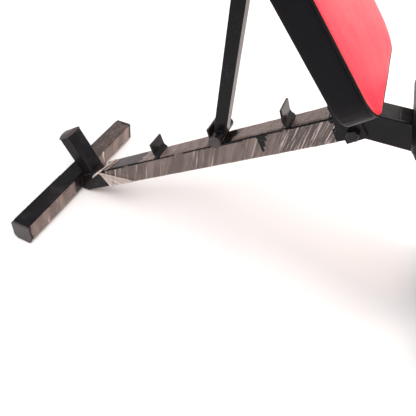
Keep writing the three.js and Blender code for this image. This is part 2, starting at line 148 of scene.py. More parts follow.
def applied(piece, kind, **settings):
    """Adds a modifier, sets it and applies it."""
    only(piece)
    modifier = piece.modifiers.new(kind.title(), kind)
    for key, value in settings.items():
        setattr(modifier, key, value)
    bpy.ops.object.modifier_apply(modifier=modifier.name)
    return piece


def placed(piece, matrix):
    """Moves a piece to its place, then applies the place to its mesh."""
    only(piece)
    piece.matrix_world = matrix
    bpy.ops.object.transform_apply(location=True, rotation=True, scale=True)
    return piece


def smoothed(piece, degrees=35):
    only(piece)
    bpy.ops.object.shade_smooth_by_angle(angle=math.radians(degrees))
    return piece


def points_of(piece):
    co = np.empty(len(piece.data.vertices) * 3)
    piece.data.vertices.foreach_get("co", co)
    return co.reshape(-1, 3)


def set_points(piece, co):
    piece.data.vertices.foreach_set("co", np.asarray(co, float).ravel())
    piece.data.update()


def joined(name, pieces):
    only(pieces[0])
    for other in pieces[1:]:
        other.select_set(True)
    if len(pieces) > 1:
        bpy.ops.object.join()
    pieces[0].name = pieces[0].data.name = name
    return pieces[0]


# %% [markdown]
# ## Where the slanted members are
# The backrest and the spine each get a frame of their own: x across or along, z out of the face.
# Two nodes on the same member give its direction, so nothing here repeats the CAD's angles.

# %% Frames of the backrest, the spine and the seat
def middle_of(node):
    low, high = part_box(node)
    return (low + high) / 2


hinge = middle_of("hinge_bush")
pivot = middle_of("strut_sleeve")
up_back = (middle_of("backrest_upper_plate") - middle_of("backrest_lower_plate")).normalized()
along_spine = (middle_of("hook_front") - middle_of("hook_rear")).normalized()
across = Vector((0, 1, 0))


def axes(x, y, z, origin):
    return Matrix.Translation(origin) @ Matrix((x, y, z)).transposed().to_4x4()


out_back = Vector((up_back.z, 0, -up_back.x))
out_spine = Vector((-along_spine.z, 0, along_spine.x))
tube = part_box("seat_beam")[1].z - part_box("seat_beam")[0].z
HINGE_UP = 0.014      # hinge bolt above the spine's underside
spine_origin = hinge - out_spine * HINGE_UP
spine_frame = axes(along_spine, across, out_spine, spine_origin)
print("backrest leans", round(math.degrees(math.atan2(up_back.z, -up_back.x)), 2),
      "spine climbs", round(math.degrees(math.atan2(along_spine.z, along_spine.x)), 2))

# %% [markdown]
# ## Shared effects for the finishes
# Several finishes need the same things: slow mottling, fine scratches, paint worn thin along
# edges, moulded grain, dust on what faces up. Each is a node group with named inputs, built once.

# %% Node helpers
class Nodes:
    """Adds nodes to a tree and links them by name, to keep the recipes below short."""

    def __init__(self, tree):
        self.tree = tree

    def add(self, kind, inputs=None, **settings):
        node = self.tree.nodes.new(kind)
        for key, value in settings.items():
            setattr(node, key, value)
        for key, value in (inputs or {}).items():
            self.set(node, key, value)
        return node

    def set(self, node, key, value):
        socket = node.inputs[key]
        if isinstance(value, bpy.types.NodeSocket):
            self.tree.links.new(value, socket)
        else:
            socket.default_value = value

    def math(self, operation, a, b=0.0, c=0.0):
        node = self.add("ShaderNodeMath", {0: a, 1: b, 2: c}, operation=operation)
        return node.outputs[0]

    def times(self, a, b):
        return self.math("MULTIPLY", a, b)

    def stretched(self, vector, scale, turn=(0.0, 0.0, 0.0)):
        node = self.add("ShaderNodeMapping", {"Vector": vector, "Rotation": turn, "Scale": scale})
        return node.outputs[0]

    def upward(self, low, high):
        """0 where the surface faces sideways or down, rising to 1 where it faces up."""
        outwards = self.add("ShaderNodeNewGeometry").outputs["Normal"]
        return self.ramp(self.add("ShaderNodeSeparateXYZ", {0: outwards}).outputs[2], low, high)

    def ramp(self, value, low, high, to_low=0.0, to_high=1.0):
        node = self.add("ShaderNodeMapRange", {0: value, 1: low, 2: high, 3: to_low, 4: to_high},
                        interpolation_type="SMOOTHSTEP")
        return node.outputs[0]

    def blend(self, factor, a, b):
        node = self.add("ShaderNodeMix", data_type="RGBA")
        self.set(node, 0, factor)
        self.set(node, 6, a)
        self.set(node, 7, b)
        return node.outputs[2]

    def noise(self, vector, scale, detail=3.0, rough=0.5):
        node = self.add("ShaderNodeTexNoise",
                        {"Vector": vector, "Scale": scale, "Detail": detail, "Roughness": rough})
        return node.outputs["Fac"]

    def bump(self, height, strength, distance):
        node = self.add("ShaderNodeBump",
                        {"Height": height, "Strength": strength, "Distance": distance})
        return node.outputs["Normal"]


def node_group(name, inputs, outputs):
    tree = bpy.data.node_groups.new(name, "ShaderNodeTree")
    for label, kind, value in inputs:
        socket = tree.interface.new_socket(label, in_out="INPUT", socket_type=kind)
        if value is not None:
            socket.default_value = value
    for label, kind in outputs:
        tree.interface.new_socket(label, in_out="OUTPUT", socket_type=kind)
    n = Nodes(tree)
    return tree, n, n.add("NodeGroupInput").outputs, n.add("NodeGroupOutput")


# %% Mottling and scratches
FLOAT, VECTOR = "NodeSocketFloat", "NodeSocketVector"

mottling, n, given, out = node_group(
    "Mottling", [("Place", VECTOR, None), ("Size", FLOAT, 20.0)], [("Value", FLOAT)])
coarse = n.noise(given["Place"], given["Size"], 4.0, 0.6)
fine = n.noise(given["Place"], n.times(given["Size"], 7.0), 2.0)
n.set(out, "Value", n.ramp(n.math("MULTIPLY_ADD", fine, 0.3, coarse), 0.38, 0.92))

scratching, n, given, out = node_group(
    "Scratches", [("Place", VECTOR, None), ("Amount", FLOAT, 0.5)], [("Mask", FLOAT)])
where = n.ramp(n.noise(given["Place"], 14.0, 2.0), 0.48, 0.7)
lines = None
for turn, stretch in ((0.5, 30.0), (1.9, 46.0), (2.7, 24.0)):
    turned = n.stretched(given["Place"], (stretch * 14, 6.0, stretch * 14),
                         (turn, turn * 0.7, turn))
    line = n.ramp(n.noise(turned, 1.0, 1.0), 0.68, 0.74)
    lines = line if lines is None else n.math("MAXIMUM", lines, line)
n.set(out, "Mask", n.times(n.times(lines, where), given["Amount"]))

# %% Worn edges and settled dust
edge_wear, n, given, out = node_group(
    "Worn_edges", [("Place", VECTOR, None), ("Width", FLOAT, 0.0012)], [("Mask", FLOAT)])
rounded = n.add("ShaderNodeBevel", {"Radius": given["Width"]}, samples=4).outputs[0]
flat = n.add("ShaderNodeNewGeometry").outputs["Normal"]
facing = n.add("ShaderNodeVectorMath", {0: rounded, 1: flat},
               operation="DOT_PRODUCT").outputs["Value"]
edge = n.ramp(facing, 0.995, 0.9)
patchy = n.ramp(n.noise(given["Place"], 90.0, 3.0, 0.7), 0.45, 0.62)
n.set(out, "Mask", n.times(edge, patchy))

dust, n, given, out = node_group(
    "Dust", [("Place", VECTOR, None), ("Amount", FLOAT, 0.2)], [("Mask", FLOAT)])
specks = n.ramp(n.noise(given["Place"], 520.0, 2.0), 0.62, 0.72)
haze = n.ramp(n.noise(given["Place"], 26.0, 4.0), 0.4, 0.8)
settled = n.times(n.upward(0.2, 0.9), n.math("MULTIPLY_ADD", specks, 0.8, haze))
n.set(out, "Mask", n.times(settled, given["Amount"]))

# %% Surface texture of paint, moulded plastic and vinyl
peel, n, given, out = node_group("Orange_peel", [("Place", VECTOR, None)], [("Height", FLOAT)])
n.set(out, "Height", n.math("MULTIPLY_ADD", n.noise(given["Place"], 1100.0, 1.0), 0.4,
                            n.noise(given["Place"], 330.0, 2.0)))

grain, n, given, out = node_group(
    "Leather_grain", [("Place", VECTOR, None), ("Size", FLOAT, 420.0)], [("Height", FLOAT)])
swirl = n.add("ShaderNodeTexNoise", {"Vector": given["Place"], "Scale": 260.0}).outputs["Color"]
wobble = n.add("ShaderNodeVectorMath", {0: swirl, 1: (0.0022, 0.0022, 0.0022)},
               operation="MULTIPLY").outputs[0]
shifted = n.add("ShaderNodeVectorMath", {0: given["Place"], 1: wobble}, operation="ADD").outputs[0]
cells = n.add("ShaderNodeTexVoronoi", {"Vector": shifted, "Scale": given["Size"]},
              feature="DISTANCE_TO_EDGE").outputs["Distance"]
creases = n.ramp(cells, 0.0, 0.16)
n.set(out, "Height", n.math("MULTIPLY_ADD", n.noise(given["Place"], 1500.0, 2.0), 0.25, creases))
print("groups", sorted(g.name for g in bpy.data.node_groups))

# %% [markdown]
# ## Finishes
# The frame is gloss black powder coat: nearly black, with a faint orange peel, worn a little at
# its edges and lightly scuffed. Caps and plugs are moulded plastic, which is greyer and duller.

# %% A finish starts from Object coordinates and one Principled shader
def finish(name, colour, rough, metal=0.0):
    made = bpy.data.materials.new(name)
    made.use_nodes = True
    n = Nodes(made.node_tree)
    shader = made.node_tree.nodes["Principled BSDF"]
    n.set(shader, "Base Color", (*colour, 1))
    n.set(shader, "Roughness", rough)
    n.set(shader, "Metallic", metal)
    made.diffuse_color = (*colour, 1)
    place = n.add("ShaderNodeTexCoord").outputs["Object"]
    return made, n, shader, place


def effect(n, tree, output, **inputs):
    node = n.add("ShaderNodeGroup", node_tree=tree)
    for key, value in inputs.items():
        n.set(node, key, value)
    return node.outputs[output]


# %% Gloss black powder coat
def powder_coat(name, scuffed):
    made, n, shader, place = finish(name, (0.005, 0.005, 0.006), 0.22)
    n.set(shader, "Specular IOR Level", 0.15)
    n.set(shader, "Sheen Weight", 0.22)
    n.set(shader, "Sheen Roughness", 0.30)
    n.set(shader, "Sheen Tint", (1.0, 0.58, 0.46, 1))
    mottle = effect(n, mottling, "Value", Place=place, Size=24.0)
    worn = effect(n, edge_wear, "Mask", Place=place, Width=0.0014)
    scuffs = effect(n, scratching, "Mask", Place=place, Amount=scuffed)
    dusty = effect(n, dust, "Mask", Place=place, Amount=0.06)
    colour = n.blend(mottle, (0.0035, 0.0038, 0.0055, 1), (0.0080, 0.0072, 0.0078, 1))
    colour = n.blend(n.times(worn, 0.35), colour, (0.16, 0.15, 0.14, 1))
    colour = n.blend(scuffs, colour, (0.10, 0.12, 0.15, 1))
    colour = n.blend(dusty, colour, (0.30, 0.28, 0.26, 1))
    n.set(shader, "Base Color", colour)
    rough = n.math("MULTIPLY_ADD", mottle, 0.10, 0.17)
    rough = n.math("ADD", rough, n.times(n.math("MAXIMUM", scuffs, worn), 0.25))
    n.set(shader, "Roughness", rough)
    n.set(shader, "Normal", n.bump(effect(n, peel, "Height", Place=place), 0.10, 0.0004))
    return made


black_paint = powder_coat("Black_powder_coat", 0.35)
scuffed_paint = powder_coat("Scuffed_powder_coat", 1.0)

# %% Moulded plastic and nylon
def moulded(name, colour, rough, grain_height):
    made, n, shader, place = finish(name, colour, rough)
    mottle = effect(n, mottling, "Value", Place=place, Size=40.0)
    worn = effect(n, edge_wear, "Mask", Place=place, Width=0.001)
    dusty = effect(n, dust, "Mask", Place=place, Amount=0.16)
    lighter = tuple(min(1.0, c * 1.6 + 0.008) for c in colour)
    tone = n.blend(mottle, (*colour, 1), (*lighter, 1))
    tone = n.blend(n.times(worn, 0.5), tone, (0.20, 0.19, 0.18, 1))
    n.set(shader, "Base Color", n.blend(dusty, tone, (0.34, 0.31, 0.29, 1)))
    n.set(shader, "Roughness", n.math("MULTIPLY_ADD", mottle, 0.12, rough))
    pitted = n.noise(place, 2100.0, 2.0)
    n.set(shader, "Normal", n.bump(pitted, 0.35, grain_height))
    return made


cap_plastic = moulded("Cap_plastic", (0.024, 0.017, 0.016), 0.42, 0.00025)
nylon = moulded("Black_nylon", (0.022, 0.022, 0.024), 0.38, 0.0001)

# %% Zinc-plated steel
def zinc_plate(name):
    made, n, shader, place = finish(name, (0.62, 0.61, 0.58), 0.30, 1.0)
    mottle = effect(n, mottling, "Value", Place=place, Size=160.0)
    worn = effect(n, edge_wear, "Mask", Place=place, Width=0.0006)
    tool_marks = n.noise(n.stretched(place, (1500.0, 90.0, 1500.0)), 1.0, 2.0)
    tone = n.blend(mottle, (0.50, 0.50, 0.50, 1), (0.70, 0.66, 0.56, 1))
    n.set(shader, "Base Color", n.blend(n.times(worn, 0.6), tone, (0.86, 0.85, 0.83, 1)))
    n.set(shader, "Roughness", n.math("MULTIPLY_ADD", mottle, 0.22, 0.22))
    n.set(shader, "Normal", n.bump(tool_marks, 0.25, 0.0001))
    return made


zinc = zinc_plate("Zinc_plate")


# %% Blackened steel for the pivot bolts
def blackened(name):
    made, n, shader, place = finish(name, (0.014, 0.014, 0.015), 0.30, 0.7)
    mottle = effect(n, mottling, "Value", Place=place, Size=150.0)
    worn = effect(n, edge_wear, "Mask", Place=place, Width=0.0008)
    tone = n.blend(mottle, (0.008, 0.008, 0.010, 1), (0.022, 0.019, 0.019, 1))
    n.set(shader, "Base Color", n.blend(n.times(worn, 0.7), tone, (0.42, 0.40, 0.38, 1)))
    n.set(shader, "Roughness", n.math("MULTIPLY_ADD", mottle, 0.18, 0.24))
    n.set(shader, "Normal", n.bump(n.noise(place, 1300.0, 2.0), 0.2, 0.0001))
    return made


black_steel = blackened("Blackened_steel")

# %% [markdown]
# Upholstery vinyl is cloth under a soft plastic skin. The skin is embossed with small leather
# cells, and its gloss lies on the cell tops, so the creases between them are rougher.

# %% Vinyl
def vinyl(name, colour, deeper, rough, gloss):
    made, n, shader, place = finish(name, colour, rough)
    mottle = effect(n, mottling, "Value", Place=place, Size=11.0)
    cells = effect(n, grain, "Height", Place=place, Size=430.0)
    dusty = effect(n, dust, "Mask", Place=place, Amount=0.03)
    tone = n.blend(mottle, (*deeper, 1), (*colour, 1))
    # the creases between the cells are painted darker than the cell tops: painted shade
    tone = n.blend(n.ramp(cells, 0.1, 0.7, 0.35, 0.0), tone, (*[c * 0.55 for c in deeper], 1))
    n.set(shader, "Base Color", n.blend(dusty, tone, (0.5, 0.47, 0.45, 1)))
    n.set(shader, "Roughness", n.ramp(cells, 0.1, 0.9, rough + 0.14, rough))
    n.set(shader, "Specular IOR Level", gloss)
    n.set(shader, "Normal", n.bump(cells, 0.28, 0.0006))
    return made


red_vinyl = vinyl("Red_vinyl", (0.86, 0.016, 0.040), (0.74, 0.008, 0.030), 0.34, 0.40)
black_vinyl = vinyl("Black_vinyl", (0.0065, 0.0058, 0.0072), (0.0042, 0.0040, 0.0055), 0.33, 0.09)
piping_vinyl = vinyl("Piping_vinyl", (0.009, 0.008, 0.009), (0.006, 0.005, 0.006), 0.28, 0.09)

# %% Plywood
def plywood_board(name):
    made, n, shader, place = finish(name, (0.50, 0.33, 0.18), 0.72)
    long = n.stretched(place, (1.0, 9.0, 1.0))
    fibres = n.noise(long, 60.0, 5.0, 0.65)
    rings = n.add("ShaderNodeTexWave", {"Vector": long, "Scale": 5.0, "Distortion": 9.0,
                                        "Detail": 3.0, "Detail Scale": 1.2}).outputs["Fac"]
    tone = n.blend(rings, (0.62, 0.44, 0.26, 1), (0.42, 0.26, 0.13, 1))
    tone = n.blend(n.ramp(fibres, 0.35, 0.75, 0.0, 0.6), tone, (0.30, 0.18, 0.09, 1))
    n.set(shader, "Base Color", tone)
    n.set(shader, "Roughness", n.ramp(fibres, 0.2, 0.8, 0.62, 0.85))
    n.set(shader, "Normal", n.bump(fibres, 0.5, 0.0005))
    return made


plywood = plywood_board("Plywood")
print("finishes", len(bpy.data.materials))

# %% Give every CAD node its finish
def cad_finish(name):
    if "cap" in name or "plug" in name:
        return cap_plastic
    if any(word in name for word in ("bolt", "nut", "washer")):
        return black_steel
    if "screw" in name:
        return zinc
    if "bush" in name or "sleeve" in name:
        return nylon
    if name.endswith("board"):
        return plywood
    if name.endswith("cushion"):
        return red_vinyl
    if name in ("rear_foot_tube", "spine_tube"):
        return scuffed_paint
    return black_paint


for name, node in frame["nodes"].items():
    node.data.materials.clear()
    node.data.materials.append(cad_finish(name))
print("CAD nodes with a finish", len(frame["nodes"]))

# %% [markdown]
# ## The cushions
# A bench pad is a plywood board with foam on it, under a cover: one red panel on the face, one
# black band round the sides, and a piped seam where they meet. The band is pulled over the edge
# of the board and stapled to its back. The foam could be drawn as a block with round edges, but a
# cover under tension swells between its seams, so the block is remeshed evenly and inflated as
# cloth, held fast where the board is. What shows is the cover, so the finished piece is a shell.

# %% Measure the pads where the CAD has them
def span(node, direction):
    """Lowest and highest reach of a CAD node along a direction."""
    reach = [v.co.dot(direction) for v in frame["nodes"][node].data.vertices]
    return min(reach), max(reach)


class Pad:
    """Sizes of one pad and its own frame: x across, y along, z out of the face, z = 0 at the
    back of its board."""

    def __init__(self, name, along, out):
        self.name = name
        board, cushion = name + "_board", name + "_cushion"
        self.width = span(cushion, across)[1] - span(cushion, across)[0]
        self.length = span(cushion, along)[1] - span(cushion, along)[0]
        self.board = span(board, out)[1] - span(board, out)[0]
        self.thick = span(cushion, out)[1] - span(board, out)[0]
        back = middle_of(board) - out * self.board / 2
        self.matrix = axes(across, along, out, back)


backrest = Pad("backrest", up_back, out_back)
# The seat is measured towards its hinge end, because then across, along and out form a
# right-handed set, as they do on the backrest.
seat = Pad("seat", Vector((-1, 0, 0)), Vector((0, 0, 1)))
CORNER = 0.050        # radius of a pad's corners
MARGIN = 0.034        # cover turned in over the back of the board
COVER = 0.0012        # cover and its backing
SEAM_DROP = 0.0036    # the piped seam lies this far behind the face
print("backrest", [round(v * 1000, 1) for v in (backrest.width, backrest.length, backrest.thick)],
      "seat", [round(v * 1000, 1) for v in (seat.width, seat.length, seat.thick)])


# %% Block of foam with rounded corners, remeshed evenly
def foam(pad, shrink=0.0012, voxel=0.0046):
    back = -COVER - 0.0003
    front = pad.thick - 0.0012
    size = (pad.width - 2 * shrink, pad.length - 2 * shrink, front - back)
    piece = block(pad.name + "_cover", size, (0, 0, (front + back) / 2))
    edit(piece)
    pick(piece, "EDGE", lambda m, d: abs(d.z) > 0.9)
    bpy.ops.mesh.bevel(offset=CORNER, segments=10, affect="EDGES")
    pick(piece, "EDGE", lambda m, d: m.z > front - 1e-4 and abs(d.z) < 0.1)
    bpy.ops.mesh.bevel(offset=0.004, segments=3, affect="EDGES")
    pick(piece, "EDGE", lambda m, d: m.z < back + 1e-4 and abs(d.z) < 0.1)
    bpy.ops.mesh.bevel(offset=0.0025, segments=2, affect="EDGES")
    only(piece)
    piece.data.remesh_voxel_size = voxel
    piece.data.use_remesh_preserve_volume = False   # it would swell the large flat faces
    bpy.ops.object.voxel_remesh()
    applied(piece, "SMOOTH", factor=0.4, iterations=1)
    return piece


# %% Inflate it as cloth, with the board's part held
def inflated(piece, pad, cap=0.006, frames=16):
    rest = points_of(piece)
    seam = pad.thick - SEAM_DROP
    held = piece.vertex_groups.new(name="held")
    held.add([i for i, p in enumerate(rest)
              if p[2] < pad.board + 0.001 or -0.0032 < p[2] - seam < 0.0014], 1.0, "ADD")
    cloth = piece.modifiers.new("Cloth", "CLOTH")
    cloth.settings.use_pressure = True
    cloth.settings.uniform_pressure_force = 4.0
    cloth.settings.vertex_group_mass = "held"
    cloth.settings.effector_weights.gravity = 0.0
    cloth.settings.tension_stiffness = cloth.settings.compression_stiffness = 25
    cloth.settings.bending_stiffness = 2.0
    cloth.settings.quality = 5
    cloth.point_cache.frame_start, cloth.point_cache.frame_end = 1, frames
    for step in range(1, frames + 1):
        bpy.context.scene.frame_set(step)
    swollen = points_of(piece.evaluated_get(bpy.context.evaluated_depsgraph_get()))
    piece.modifiers.remove(cloth)
    bpy.context.scene.frame_set(1)
    move = swollen - rest
    ends = np.array([e.vertices[:] for e in piece.data.edges])
    share = np.bincount(ends.ravel(), minlength=len(rest))[:, None]
    for _ in range(10):         # evens out the small creases, never the shape itself
        around = np.zeros_like(move)
        for a, b in ((0, 1), (1, 0)):
            for axis in range(3):
                around[:, axis] += np.bincount(ends[:, a], move[ends[:, b], axis], len(rest))
        move = 0.4 * move + 0.6 * around / share
    far = np.linalg.norm(move, axis=1, keepdims=True) + 1e-9
    set_points(piece, rest + move * (cap * np.tanh(far / cap) / far))
    print(piece.name, "swelled by up to", round(float(far.max()) * 1000, 1), "mm before the cap")
    return piece


# %% Seam, panels and the turned-in margin
def panelled(piece, pad):
    """Cuts the surface along the seam, makes the panel above it red and the band below it black,
    and opens the back inside the margin."""
    seam = pad.thick - SEAM_DROP
    edit(piece)
    bpy.ops.mesh.bisect(plane_co=(0, 0, seam), plane_no=(0, 0, 1))
    half_w, half_l = pad.width / 2 - MARGIN, pad.length / 2 - MARGIN
    pick(piece, "FACE", lambda m, d: d.z < -0.7 and abs(m.x) < half_w and abs(m.y) < half_l)
    bpy.ops.mesh.delete(type="FACE")
    only(piece)
    piece.data.materials.append(black_vinyl)
    piece.data.materials.append(red_vinyl)
    for face in piece.data.polygons:
        face.material_index = int(face.center.z > seam)
    return piece


# %% The pull of the seam, the pleats at the corners and the slack between
def sewn(piece, pad):
    seam = pad.thick - SEAM_DROP
    co = points_of(piece)
    normals = np.array([v.normal for v in piece.data.vertices])
    sides = np.sqrt(np.clip(1 - normals[:, 2:3] ** 2, 0, 1))
    drop = co[:, 2:3] - seam
    co = co - normals * 0.0010 * np.exp(-(drop / 0.0026) ** 2) * sides
    # shallow waves where the band is pulled tight round a corner
    cx, cy = pad.width / 2 - CORNER, pad.length / 2 - CORNER
    dx, dy = np.abs(co[:, 0]) - cx, np.abs(co[:, 1]) - cy
    in_corner = np.clip(np.minimum(dx, dy) / 0.012, 0, 1)[:, None]
    turn = np.arctan2(np.maximum(dy, 0), np.maximum(dx, 1e-6))[:, None]
    low = np.clip(1 - co[:, 2:3] / 0.030, 0, 1)
    co = co - normals * 0.0009 * in_corner * low * (0.5 + 0.5 * np.cos(turn * 26)) * sides
    # the cover never lies perfectly flat
    wave = np.array([noise.noise(Vector(p) * 13.0) + 0.5 * noise.noise(Vector(p) * 31.0)
                     for p in co])[:, None]
    set_points(piece, co + normals * 0.0008 * wave * (co[:, 2:3] > pad.board))
    return piece


# %% Piping is a covered cord, laid along the very edge where the two panels meet
def piped(pad, cover, radius=0.0021):
    edit(cover)
    bpy.ops.mesh.select_mode(type="EDGE")
    bpy.ops.mesh.select_all(action="DESELECT")
    shape = bmesh.from_edit_mesh(cover.data)
    for e in shape.edges:
        e.select_set(len(e.link_faces) == 2 and
                     e.link_faces[0].material_index != e.link_faces[1].material_index)
    bmesh.update_edit_mesh(cover.data)
    before = set(bpy.data.objects)
    bpy.ops.mesh.duplicate()
    bpy.ops.mesh.separate(type="SELECTED")
    piece = (set(bpy.data.objects) - before).pop()
    edit(piece)
    bpy.ops.mesh.remove_doubles(threshold=0.0016)
    only(piece)
    applied(piece, "SMOOTH", factor=0.5, iterations=4)
    bpy.ops.object.convert(target="CURVE")
    cord = bpy.context.object
    cord.data.bevel_depth = radius
    cord.data.bevel_resolution = 3
    bpy.ops.object.convert(target="MESH")
    piece = bpy.context.object
    piece.name = piece.data.name = pad.name + "_piping"
    edit(piece)
    bpy.ops.mesh.remove_doubles(threshold=1e-5)
    bpy.ops.mesh.normals_make_consistent(inside=False)
    only(piece)
    piece.data.materials.clear()
    piece.data.materials.append(piping_vinyl)
    return smoothed(piece, 80)


# %% The cover gets its thickness last
def thickened(piece):
    applied(piece, "SOLIDIFY", thickness=COVER, offset=-1.0, use_even_offset=False)
    return smoothed(piece, 60)


# %% Staples that hold the margin
def round_rectangle(width, length, corner, inset, step):
    """Points and headings along a rounded rectangle, about a step apart."""
    w, l, r = width / 2 - inset, length / 2 - inset, max(corner - inset, 0.001)
    runs, out = [(w, -(l - r), math.pi / 2, 2 * (l - r)), (w - r, l, math.pi, 2 * (w - r)),
                 (-w, l - r, -math.pi / 2, 2 * (l - r)), (-(w - r), -l, 0, 2 * (w - r))], []
    for i, (x, y, heading, run) in enumerate(runs):
        count = max(1, round(run / step))
        for k in range(count + 1):
            far = run * k / count
            out.append((x + math.cos(heading) * far, y + math.sin(heading) * far, heading))
        cx, cy = (w - r) * (1, -1, -1, 1)[i], (l - r) * (1, 1, -1, -1)[i]
        count = max(1, round(r * math.pi / 2 / step))
        for k in range(1, count):
            a = i * math.pi / 2 + math.pi / 2 * k / count
            out.append((cx + math.cos(a) * r, cy + math.sin(a) * r, a + math.pi / 2))
    return out


def stapled(pad):
    one = block("staple", (0.0105, 0.0012, 0.0007))
    edit(one)
    bpy.ops.mesh.bevel(offset=0.00028, segments=1, affect="EDGES")
    only(one)
    one.data.materials.append(zinc)
    rng = np.random.default_rng(len(pad.name))
    staples = []
    back = -COVER - 0.0003 - 0.0004
    for x, y, heading in round_rectangle(pad.width, pad.length, CORNER, 0.019, 0.031):
        copy = one.copy()
        copy.data = one.data.copy()
        bpy.context.scene.collection.objects.link(copy)
        skew = rng.uniform(-0.16, 0.16)
        turned = Matrix.Rotation(heading + skew, 4, "Z")
        copy.matrix_world = Matrix.Translation((x, y, back)) @ turned
        staples.append(copy)
    bpy.data.objects.remove(one)
    only(staples[0])
    for s in staples:
        s.select_set(True)
    bpy.ops.object.transform_apply(location=True, rotation=True, scale=True)
    return joined(pad.name + "_staples", staples)


# %% Make both pads
for pad, body in ((backrest, "backrest"), (seat, "frame")):
    cover = sewn(panelled(inflated(foam(pad), pad), pad), pad)
    piping = piped(pad, cover)
    thickened(cover)
    staples = stapled(pad)
    for piece in (cover, piping, staples):
        placed(piece, pad.matrix)
        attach(piece, body)
    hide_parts(pad.name + "_cushion")
    print(cover.name, len(cover.data.polygons), "faces;", len(staples.data.polygons), "on staples")

# %% [markdown]
# ## Stretch film left on the spine
# The spine is still in its transport wrap: clear film wound round and round the tube, so tight
# that it lies on the steel, gathered into ropes at the rear and torn open in places. It is a
# sheet, so it could be draped, but wound film takes its shape from the tube. A sleeve a little
# larger than the tube is cut finely, raised into slanting ridges, torn by leaving faces out, and
# given the film's thickness. Its finish is milky and see-through, whiter on the ridges.

# %% Where things are along the spine, measured from the hinge
def along(point):
    return (Vector(point) - spine_origin).dot(along_spine)


bar_middle = middle_of("strut_crossbar")
hook_step = (middle_of("hook_front") - middle_of("hook_rear")).length / 2
bar_at = along(bar_middle)
film_from = along(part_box("rear_foot_tube")[1]) + 0.068
film_to = -0.024
half_tube = tube / 2
threads_at = spine_origin + along_spine * (bar_at + 0.065)
threads_start = (threads_at.x, threads_at.x + 0.045)
print("film runs", round(film_from * 1000), "to", round(film_to * 1000), "mm from the hinge")

# %% Film finish
def stretch_film(name, thin, thick, whiter=0.0, top=(0.40, 0.275, 0.235), painted_top_share=0.55):
    """Milky film: soft upright bands at the rear, fine leaning threads towards the hinge."""
    made, n, shader, place = finish(name, (0.30, 0.22, 0.20), 0.28)
    leaning = n.stretched(place, (1.0, 1.0, 1.0), (0.0, -0.10, 0.0))
    fine = n.stretched(leaning, (560.0, 90.0, 15.0))
    upright = n.stretched(place, (210.0, 60.0, 7.0))
    broad = n.stretched(place, (70.0, 30.0, 7.0))
    towards_hinge = n.ramp(n.add("ShaderNodeSeparateXYZ", {0: place}).outputs[0], *threads_start)
    threads = n.ramp(n.noise(fine, 1.0, 3.0, 0.65), 0.50, 0.66)
    stripes = n.ramp(n.noise(upright, 1.0, 2.0), 0.60, 0.74, 0.0, 0.75)
    bands = n.ramp(n.noise(broad, 1.0, 3.0), 0.35, 0.72)
    patch = n.ramp(n.noise(place, 16.0, 2.0), 0.35, 0.7)
    fibres = n.times(threads, n.math("MULTIPLY_ADD", patch, 0.6, 0.4))
    streaks = n.math("ADD", n.times(fibres, towards_hinge),
                     n.times(stripes, n.math("SUBTRACT", 1.0, towards_hinge)))
    tone = n.blend(bands, (0.175, 0.128, 0.112, 1), (0.270, 0.200, 0.176, 1))
    upward = n.upward(0.3, 0.7)
    sides = n.math("SUBTRACT", 1.0, upward)
    # the sides towards the hinge are painted darker than the top: painted shade
    tone = n.blend(n.times(n.times(towards_hinge, sides), 0.45), tone,
                   (0.085, 0.062, 0.060, 1))
    # the upward faces are blended towards a set top tone: painted reflection
    tone = n.blend(n.times(upward, painted_top_share), tone, (*top, 1))
    streaks = n.times(streaks, n.math("MULTIPLY_ADD", upward, -0.75, 1.0))
    tone = n.blend(n.math("MINIMUM", n.math("ADD", streaks, whiter), 1.0), tone,
                   (0.74, 0.62, 0.57, 1))
    n.set(shader, "Base Color", tone)
    cover = n.math("MULTIPLY_ADD", bands, 0.22, thin)
    cover = n.math("MULTIPLY_ADD", streaks, thick - thin, cover)
    n.set(shader, "Alpha", n.math("MINIMUM", cover, 1.0))
    n.set(shader, "Roughness", n.math("MULTIPLY_ADD", bands, 0.16, 0.24))
    n.set(shader, "Normal", n.bump(n.math("ADD", streaks, bands), 0.35, 0.0006))
    return made


# the spine's film gets a lighter, warmer top and the foot's film a dark top, both painted
# reflection
film_finish = stretch_film("Stretch_film", 0.55, 0.95)
foot_film_finish = stretch_film("Foot_film", 0.55, 0.95, 0.0, (0.075, 0.056, 0.048), 0.9)
rope_finish = stretch_film("Gathered_film", 0.85, 1.0, 0.9)

# %% A fine sleeve round the tube
FILM_OFF = 0.0006       # how far the sleeve lies off the steel
FILM_THICK = 0.00015    # many layers of film
FILM_BEND = 0.0042      # radius of its bend over a corner of the tube
FILM_RINGS = 330        # cuts along the sleeve
outer = tube + 2 * FILM_OFF


def sleeve(name, axis, long, middle, rings, cuts, left_out=lambda facing: False):
    """An open sleeve round a square tube along x (axis 0) or y (axis 1), left in edit mode."""
    piece = block(name, [long if i == axis else outer for i in range(3)], middle)
    edit(piece)
    pick(piece, "EDGE", lambda m, d: abs(d[axis]) > 0.9)
    bpy.ops.mesh.bevel(offset=FILM_BEND, segments=2, affect="EDGES")
    pick(piece, "FACE", lambda m, d: abs(d[axis]) > 0.9 or left_out(d))
    bpy.ops.mesh.delete(type="FACE")
    pick(piece, "EDGE", lambda m, d: abs(d[axis]) > 0.9)
    bpy.ops.mesh.subdivide(number_cuts=rings)
    across_it = [i for i in range(3) if i != axis]
    pick(piece, "EDGE", lambda m, d: abs(d[axis]) < 0.1 and
         min(abs(m[i] - middle[i]) for i in across_it) < 0.001)
    bpy.ops.mesh.subdivide(number_cuts=cuts)
    return piece


film_length = film_to - film_from
film = sleeve("stretch_film", 0, film_length, ((film_from + film_to) / 2, 0, half_tube),
              FILM_RINGS, 19)
print("film faces", len(bmesh.from_edit_mesh(film.data).faces))

# %% Tears and bare patches
def ragged(p, size=0.006, scale=70.0):
    return size * noise.noise(Vector((p[0] * scale, p[1] * scale, p[2] * scale)))


